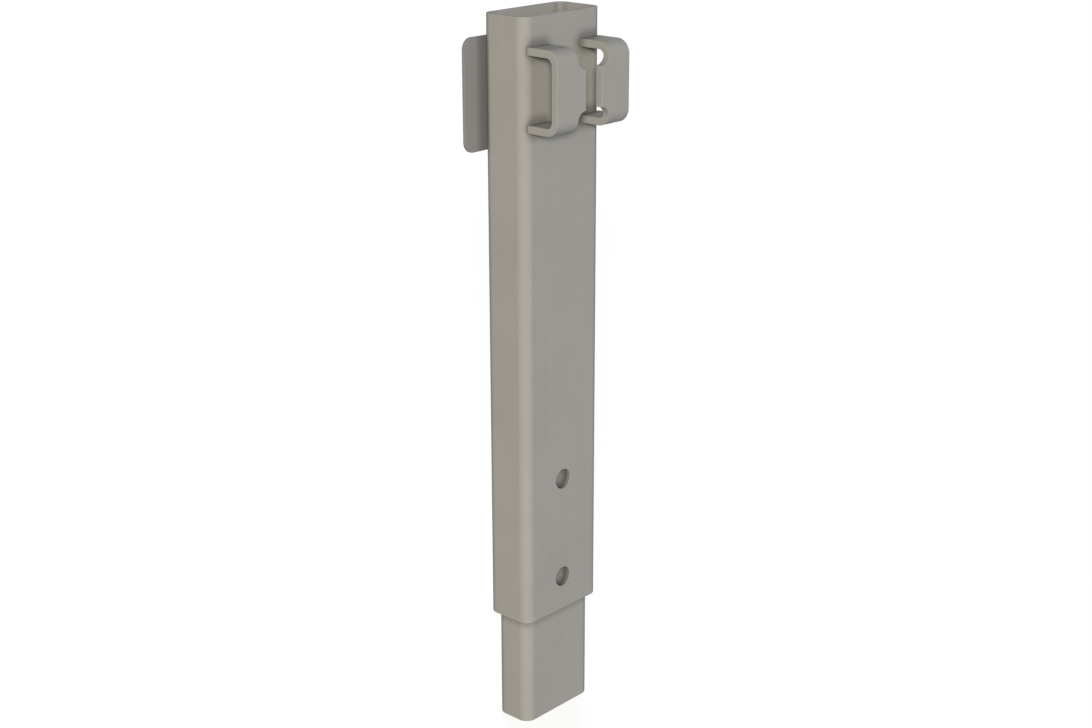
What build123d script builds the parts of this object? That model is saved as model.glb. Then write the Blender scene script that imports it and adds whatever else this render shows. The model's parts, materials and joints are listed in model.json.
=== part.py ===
from build123d import *
import os

os.makedirs("parts", exist_ok=True)

# Fence post of rectangular steel tube. Millimetres, +Z up, wide front face
# towards -Y. The origin is on the post's axis, at the spigot's lower end.

# Post tube
POST_WIDTH = 100.0
POST_DEPTH = 50.0
POST_WALL = 5.0
POST_LENGTH = 565.0
POST_CORNER_R = 10.0

# Spigot tube, a sliding fit inside the post, seated on the post's rear wall
SPIGOT_CLEARANCE = 0.25
SPIGOT_WALL = 4.0
SPIGOT_CORNER_R = 10.5
SPIGOT_SHOWN = 108.5
SPIGOT_INSERTED = 191.5

# Round holes through the post's front wall, above its lower edge
HOLE_DIAMETER = 19.0
HOLE_FIRST_HEIGHT = 33.5
HOLE_PITCH = 100.0
HOLE_COUNT = 2

# Loop brackets, bent from strip and welded to the front face
STRIP_THICKNESS = 7.0
LOOP_DEPTH = 28.0
LOOP_HEIGHT = 59.5
BEND_INNER_R = 6.0
LEG_WIDTH = 26.5
LIP_WIDTH = 10.0
LIP_HEIGHT = 36.0
RELIEF_R = 9.5
RELIEF_SHARE = 0.95
SIDE_SETBACK = 3.5
LOOP_TOP_DROP = 25.0

# Flat plate welded to the back face
PLATE_WIDTH = 143.0
PLATE_HEIGHT = 100.0
PLATE_THICKNESS = 3.0
PLATE_CORNER_R = 10.0
PLATE_TOP_DROP = 20.0

# Half-width of the band in which corners are picked out
TINY = 0.01

# Levels and faces that the pieces share
post_bottom_z = SPIGOT_SHOWN
post_top_z = post_bottom_z + POST_LENGTH
front_face_y = -POST_DEPTH / 2
back_face_y = POST_DEPTH / 2
cavity_width = POST_WIDTH - 2 * POST_WALL
cavity_depth = POST_DEPTH - 2 * POST_WALL


def tube(width, depth, corner_r, wall, length):
    """Rectangular hollow section standing on the XY plane."""
    inner_r = max(corner_r - wall, wall / 10)
    with BuildPart() as made:
        with BuildSketch():
            RectangleRounded(width, depth, corner_r)
            RectangleRounded(width - 2 * wall, depth - 2 * wall, inner_r, mode=Mode.SUBTRACT)
        extrude(amount=length)
    return made.part


def post_tube():
    """Post tube with its row of holes in the front wall only."""
    body = tube(POST_WIDTH, POST_DEPTH, POST_CORNER_R, POST_WALL, POST_LENGTH)
    body = Pos(0, 0, post_bottom_z) * body
    with BuildPart() as drill:
        with BuildSketch(Plane.XZ.offset(-front_face_y - POST_WALL)):
            for step in range(HOLE_COUNT):
                height = post_bottom_z + HOLE_FIRST_HEIGHT + step * HOLE_PITCH
                with Locations((0, height)):
                    Circle(HOLE_DIAMETER / 2)
        extrude(amount=POST_WALL)
    return body - drill.part


def spigot_tube():
    """Inner tube, loose by the clearance at the front and on both sides."""
    width = cavity_width - 2 * SPIGOT_CLEARANCE
    depth = cavity_depth - 2 * SPIGOT_CLEARANCE
    length = SPIGOT_SHOWN + SPIGOT_INSERTED
    body = tube(width, depth, SPIGOT_CORNER_R, SPIGOT_WALL, length)
    return Pos(0, SPIGOT_CLEARANCE, 0) * body


def right_loop_bracket():
    """Strip bent into a C; its lip reaches in past the legs, with round reliefs."""
    projection = LOOP_DEPTH + STRIP_THICKNESS
    height = LOOP_HEIGHT + 2 * STRIP_THICKNESS
    outer_x = POST_WIDTH / 2 - SIDE_SETBACK
    leg_edge_x = outer_x - LEG_WIDTH
    middle_z = post_top_z - LOOP_TOP_DROP - height / 2
    with BuildPart() as bent_strip:
        with BuildSketch(Plane.YZ.offset(leg_edge_x - LIP_WIDTH)):
            with Locations((front_face_y, middle_z)):
                RectangleRounded(2 * projection, height, BEND_INNER_R + STRIP_THICKNESS)
                RectangleRounded(2 * LOOP_DEPTH, LOOP_HEIGHT, BEND_INNER_R, mode=Mode.SUBTRACT)
                Rectangle(
                    projection, height, align=(Align.MIN, Align.CENTER), mode=Mode.SUBTRACT
                )
        extrude(amount=LEG_WIDTH + LIP_WIDTH)
    with BuildPart() as front_outline:
        with BuildSketch(Plane.XZ.offset(-front_face_y)):
            with Locations((leg_edge_x, middle_z)):
                Rectangle(LEG_WIDTH, height, align=(Align.MIN, Align.CENTER))
                Rectangle(LIP_WIDTH, LIP_HEIGHT, align=(Align.MAX, Align.CENTER))
            on_leg_edge = vertices().filter_by_position(
                Axis.X, leg_edge_x - TINY, leg_edge_x + TINY
            )
            inner_corners = on_leg_edge.filter_by_position(
                Axis.Y, middle_z - height / 2 + TINY, middle_z + height / 2 - TINY
            )
            fillet(inner_corners, min(RELIEF_R, RELIEF_SHARE * LIP_WIDTH))
        extrude(amount=projection)
    return bent_strip.part & front_outline.part


def back_plate():
    """Plain plate with rounded corners, flat against the back face."""
    middle_z = post_top_z - PLATE_TOP_DROP - PLATE_HEIGHT / 2
    with BuildPart() as plate:
        with BuildSketch(Plane.XZ.offset(-back_face_y - PLATE_THICKNESS)):
            with Locations((0, middle_z)):
                RectangleRounded(PLATE_WIDTH, PLATE_HEIGHT, PLATE_CORNER_R)
        extrude(amount=PLATE_THICKNESS)
    return plate.part


right_loop = right_loop_bracket()
nodes = {
    "post_tube": post_tube(),
    "spigot_tube": spigot_tube(),
    "left_loop_bracket": right_loop.mirror(Plane.YZ),
    "right_loop_bracket": right_loop,
    "back_plate": back_plate(),
}

for name, solid in nodes.items():
    export_step(solid, f"parts/{name}.step")
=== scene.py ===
import json
import math

import bpy
from mathutils import Matrix, Vector

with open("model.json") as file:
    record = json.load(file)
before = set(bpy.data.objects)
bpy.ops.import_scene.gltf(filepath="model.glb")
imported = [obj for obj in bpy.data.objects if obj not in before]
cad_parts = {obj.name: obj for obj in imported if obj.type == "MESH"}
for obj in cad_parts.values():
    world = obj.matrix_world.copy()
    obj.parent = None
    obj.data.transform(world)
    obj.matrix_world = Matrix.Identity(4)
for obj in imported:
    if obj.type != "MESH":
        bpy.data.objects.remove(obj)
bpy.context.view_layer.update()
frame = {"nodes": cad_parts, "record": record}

# Paint of each material slot: colour in linear light, and roughness
PAINTS = {
    "post_steel": ((0.322, 0.318, 0.301), 0.6),
    "plate_steel": ((0.233, 0.234, 0.228), 0.58),
}
PAINT_SPECULAR = 0.02

# Texture of the paint: scale, detail and roughness of each noise, the part of its range
# that is used, and the shades and changes that come of it
CLOUD = (9.0, 4.0, 0.6)
GRAIN = (1400.0, 2.0, 0.7)
PEEL = (520.0, 2.0, 0.5)
DRAW = (1.0, 3.0, 0.65)
DRAW_STRETCH = (420.0, 420.0, 5.0)
NOISE_SPAN = (0.3, 0.7)
CLOUD_SHADES = (0.965, 1.03)
GRAIN_SHADES = (0.965, 1.03)
DRAW_SHADES = (0.982, 1.018)
ROUGHNESS_SWING = (-0.04, 0.05)
DRAW_BUMP = 0.05
PEEL_BUMP = 0.16
BUMP_DEPTH = 0.0002

# Painted shade in corners and recesses, darkening the paint colour where it is sheltered:
# reach, openness at which it is fullest, heights over which it sets in above the floor, and
# its darkest shade on each node
PAINTED_SHADE_REACH = 0.011
PAINTED_SHADE_FULL = 0.65
PAINTED_SHADE_HEIGHTS = (0.01, 0.03)
PAINTED_SHADE_SAMPLES = 8
PAINTED_SHADE_DARKEST = {
    "post_tube": 0.56,
    "spigot_tube": 0.42,
    "left_loop_bracket": 0.56,
    "right_loop_bracket": 0.56,
    "back_plate": 0.68,
}

# Eased edges of the cut steel, with angles in degrees
EDGE_EASE = 0.0006
EDGE_SEGMENTS = 2
EASED_FROM = 35.0
FLAT_WITHIN = 0.5
JOIN_WITHIN = 1e-5
FACE_WEIGHT = 100

# Floor, lit only by what follows; ground_glow() works out what makes it white to the eye
FLOOR_SIZE = 60.0
FLOOR_COLOUR = 0.5

# Light: surround colour, then each lamp's name, direction towards it, spread in degrees,
# level, colour and whether it shows in reflections
WORLD_COLOUR = (0.21, 0.235, 0.28)
SUNS = (
    ("key", (-0.737, -0.676, 0.26), 12.0, 1.07, (1.0, 0.915, 0.77), True),
    ("front_fill", (0.05, -1.0, 0.15), 40.0, 0.15, (0.25, 0.5, 1.0), True),
    ("rear_fill", (0.7, 0.7, 0.08), 40.0, 1.25, (0.95, 0.98, 1.0), False),
)

# Camera: heading from +Y towards +X, tilt below the horizon and roll, all in degrees
CAMERA_PLACE = (-1.15821, -1.06557, 0.88901)
CAMERA_HEADING = 47.4808
CAMERA_TILT = 18.9268
CAMERA_ROLL = -0.1005
CAMERA_LENS = 59.505
CAMERA_SENSOR = 36.0
CAMERA_CLIP = (0.05, 100.0)


def empty_tree(owner):
    """Turns on the nodes of a material or world and clears them."""
    owner.use_nodes = True
    owner.node_tree.nodes.clear()
    return owner.node_tree


def node(tree, kind, **inputs):
    """Adds a shader node and sets its unlinked sockets."""
    made = tree.nodes.new(kind)
    for name, value in inputs.items():
        made.inputs[name.replace("_", " ")].default_value = value
    return made


def noise(tree, place, scale, detail, roughness):
    """Noise at the given place."""
    made = node(tree, "ShaderNodeTexNoise", Scale=scale, Detail=detail, Roughness=roughness)
    tree.links.new(place, made.inputs["Vector"])
    return made.outputs["Fac"]


def stretched(tree, value, span, result):
    """Value with one span of it stretched to another, and held at the ends of that."""
    made = node(
        tree, "ShaderNodeMapRange",
        From_Min=span[0], From_Max=span[1], To_Min=result[0], To_Max=result[1],
    )
    tree.links.new(value, made.inputs["Value"])
    return made.outputs["Result"]


def product(tree, one, other):
    """One value times another."""
    made = tree.nodes.new("ShaderNodeMath")
    made.operation = "MULTIPLY"
    tree.links.new(one, made.inputs[0])
    tree.links.new(other, made.inputs[1])
    return made.outputs["Value"]


def shaded(tree, colour, shade, share=None):
    """Colour times a shade, in full or by the given share."""
    made = node(tree, "ShaderNodeMixRGB", Fac=1.0)
    made.blend_type = "MULTIPLY"
    tree.links.new(colour, made.inputs["Color1"])
    tree.links.new(shade, made.inputs["Color2"])
    if share is not None:
        tree.links.new(share, made.inputs["Fac"])
    return made.outputs["Color"]


def bumped(tree, height, strength, normal=None):
    """Normal of a skin with this height, laid over an earlier normal if there is one."""
    made = node(tree, "ShaderNodeBump", Strength=strength, Distance=BUMP_DEPTH)
    tree.links.new(height, made.inputs["Height"])
    if normal is not None:
        tree.links.new(normal, made.inputs["Normal"])
    return made.outputs["Normal"]


def painted_steel(name, colour, roughness, darkest):
    """Matt paint on steel.

    Its colour is faintly cloudy, with a fine grain and faint marks up the drawn steel, and
    carries painted shade that darkens it in corners and recesses. Its skin has the same
    marks and a light orange peel.
    """
    mat = bpy.data.materials.new(name)
    tree = empty_tree(mat)
    link = tree.links.new
    place = tree.nodes.new("ShaderNodeTexCoord").outputs["Object"]
    lengthwise = node(tree, "ShaderNodeMapping", Scale=DRAW_STRETCH)
    link(place, lengthwise.inputs["Vector"])
    cloud = noise(tree, place, *CLOUD)
    grain = noise(tree, place, *GRAIN)
    peel = noise(tree, place, *PEEL)
    draw = noise(tree, lengthwise.outputs["Vector"], *DRAW)

    tone = tree.nodes.new("ShaderNodeValToRGB")
    for stop, position, shade in zip(tone.color_ramp.elements, NOISE_SPAN, CLOUD_SHADES):
        stop.position = position
        stop.color = [c * shade for c in colour] + [1.0]
    link(cloud, tone.inputs["Fac"])
    speck = stretched(tree, grain, NOISE_SPAN, GRAIN_SHADES)
    streak = stretched(tree, draw, NOISE_SPAN, DRAW_SHADES)
    clean = shaded(tree, tone.outputs["Color"], product(tree, speck, streak))

    # Painted shade: the colour is darkened where the surface is sheltered within a short
    # reach, fading out near the floor
    openness = node(tree, "ShaderNodeAmbientOcclusion", Distance=PAINTED_SHADE_REACH)
    openness.samples = PAINTED_SHADE_SAMPLES
    painted_shade = stretched(tree, openness.outputs["AO"], (PAINTED_SHADE_FULL, 1.0), (darkest, 1.0))
    place_xyz = tree.nodes.new("ShaderNodeSeparateXYZ")
    link(place, place_xyz.inputs["Vector"])
    off_floor = stretched(tree, place_xyz.outputs["Z"], PAINTED_SHADE_HEIGHTS, (0.0, 1.0))

    shader = node(
        tree, "ShaderNodeBsdfPrincipled", Metallic=0.0, Specular_IOR_Level=PAINT_SPECULAR
    )
    # Base colour is the clean paint with the painted shade multiplied in
    link(shaded(tree, clean, painted_shade, off_floor), shader.inputs["Base Color"])
    swing = [roughness + change for change in ROUGHNESS_SWING]
    link(stretched(tree, cloud, NOISE_SPAN, swing), shader.inputs["Roughness"])
    skin = bumped(tree, peel, PEEL_BUMP, bumped(tree, draw, DRAW_BUMP))
    link(skin, shader.inputs["Normal"])
    out = tree.nodes.new("ShaderNodeOutputMaterial")
    link(shader.outputs["BSDF"], out.inputs["Surface"])
    return mat


def ease_edges(piece):
    """Joins the faces of a carried-over solid and breaks its sharp edges a little."""
    weld = piece.modifiers.new("join", "WELD")
    weld.merge_threshold = JOIN_WITHIN
    flat = piece.modifiers.new("flat", "DECIMATE")
    flat.decimate_type = "DISSOLVE"
    flat.angle_limit = math.radians(FLAT_WITHIN)
    ease = piece.modifiers.new("ease", "BEVEL")
    ease.width = EDGE_EASE
    ease.segments = EDGE_SEGMENTS
    ease.limit_method = "ANGLE"
    ease.angle_limit = math.radians(EASED_FROM)
    ease.miter_outer = "MITER_ARC"
    shade = piece.modifiers.new("shade", "WEIGHTED_NORMAL")
    shade.weight = FACE_WEIGHT


def background_rays(tree):
    """1 for the rays that meet a white background: camera, glossy and transmission rays."""
    ray = tree.nodes.new("ShaderNodeLightPath")
    total = ray.outputs["Is Camera Ray"]
    for kind in ("Is Glossy Ray", "Is Transmission Ray"):
        larger = tree.nodes.new("ShaderNodeMath")
        larger.operation = "MAXIMUM"
        tree.links.new(total, larger.inputs[0])
        tree.links.new(ray.outputs[kind], larger.inputs[1])
        total = larger.outputs["Value"]
    return total


def by_ray(tree, as_light, as_background):
    """One shader where it lights the object, and another where it is its background."""
    made = tree.nodes.new("ShaderNodeMixShader")
    tree.links.new(background_rays(tree), made.inputs["Fac"])
    tree.links.new(as_light, made.inputs[1])
    tree.links.new(as_background, made.inputs[2])
    return made.outputs["Shader"]


def ground_glow():
    """Emission that brings the open floor, with the light on it, to white."""
    light = list(WORLD_COLOUR)
    for _, toward, _, level, colour, _ in SUNS:
        slope = Vector(toward).normalized().z
        light = [sofar + level * slope * c for sofar, c in zip(light, colour)]
    return [1.0 - FLOOR_COLOUR * part for part in light]


def studio_floor(name):
    """Floor that is matt to the light, and white to the eye outside the shadow."""
    mat = bpy.data.materials.new(name)
    tree = empty_tree(mat)
    matt = node(tree, "ShaderNodeBsdfDiffuse", Color=(FLOOR_COLOUR,) * 3 + (1.0,))
    glow = node(tree, "ShaderNodeEmission", Color=(*ground_glow(), 1.0), Strength=1.0)
    both = tree.nodes.new("ShaderNodeAddShader")
    tree.links.new(matt.outputs["BSDF"], both.inputs[0])
    tree.links.new(glow.outputs["Emission"], both.inputs[1])
    surface = by_ray(tree, matt.outputs["BSDF"], both.outputs["Shader"])
    out = tree.nodes.new("ShaderNodeOutputMaterial")
    tree.links.new(surface, out.inputs["Surface"])
    return mat


def soft_sun(name, toward, spread, level, colour, glossy):
    """Broad distant light; level is what a white face turned to it would show."""
    data = bpy.data.lights.new(name, "SUN")
    data.angle = math.radians(spread)
    data.energy = level * math.pi
    data.color = colour
    lamp = bpy.data.objects.new(name, data)
    bpy.context.scene.collection.objects.link(lamp)
    lamp.rotation_euler = Vector(toward).to_track_quat("Z", "Y").to_euler()
    lamp.visible_glossy = glossy


# Paint and edges of the CAD nodes
slots = {part["node"]: part["material_slot"] for part in frame["record"]["subparts"]}
for name, piece in frame["nodes"].items():
    colour, roughness = PAINTS[slots[name]]
    piece.data.materials.clear()
    piece.data.materials.append(
        painted_steel(name + "_paint", colour, roughness, PAINTED_SHADE_DARKEST[name])
    )
    ease_edges(piece)

# Floor
half = FLOOR_SIZE / 2
mesh = bpy.data.meshes.new("floor")
corners = [(-half, -half, 0), (half, -half, 0), (half, half, 0), (-half, half, 0)]
mesh.from_pydata(corners, [], [(0, 1, 2, 3)])
floor = bpy.data.objects.new("floor", mesh)
bpy.context.scene.collection.objects.link(floor)
floor.data.materials.append(studio_floor("ground"))

# Surround: dim as light, white as background
world = bpy.data.worlds.new("surround")
bpy.context.scene.world = world
tree = empty_tree(world)
dim = node(tree, "ShaderNodeBackground", Color=(*WORLD_COLOUR, 1.0), Strength=1.0)
white = node(tree, "ShaderNodeBackground", Color=(1.0, 1.0, 1.0, 1.0), Strength=1.0)
surround = by_ray(tree, dim.outputs["Background"], white.outputs["Background"])
sky = tree.nodes.new("ShaderNodeOutputWorld")
tree.links.new(surround, sky.inputs["Surface"])

# Lamps
for lamp in SUNS:
    soft_sun(*lamp)

# Camera
turn = (
    Matrix.Rotation(-math.radians(CAMERA_HEADING), 3, "Z")
    @ Matrix.Rotation(math.radians(90.0 - CAMERA_TILT), 3, "X")
    @ Matrix.Rotation(math.radians(CAMERA_ROLL), 3, "Z")
)
eye = bpy.data.cameras.new("camera")
eye.lens = CAMERA_LENS
eye.sensor_width = CAMERA_SENSOR
eye.sensor_fit = "HORIZONTAL"
eye.clip_start, eye.clip_end = CAMERA_CLIP
camera = bpy.data.objects.new("camera", eye)
bpy.context.scene.collection.objects.link(camera)
camera.location = CAMERA_PLACE
camera.rotation_euler = turn.to_euler()
bpy.context.scene.camera = camera

bpy.context.scene.view_settings.view_transform = "Standard"
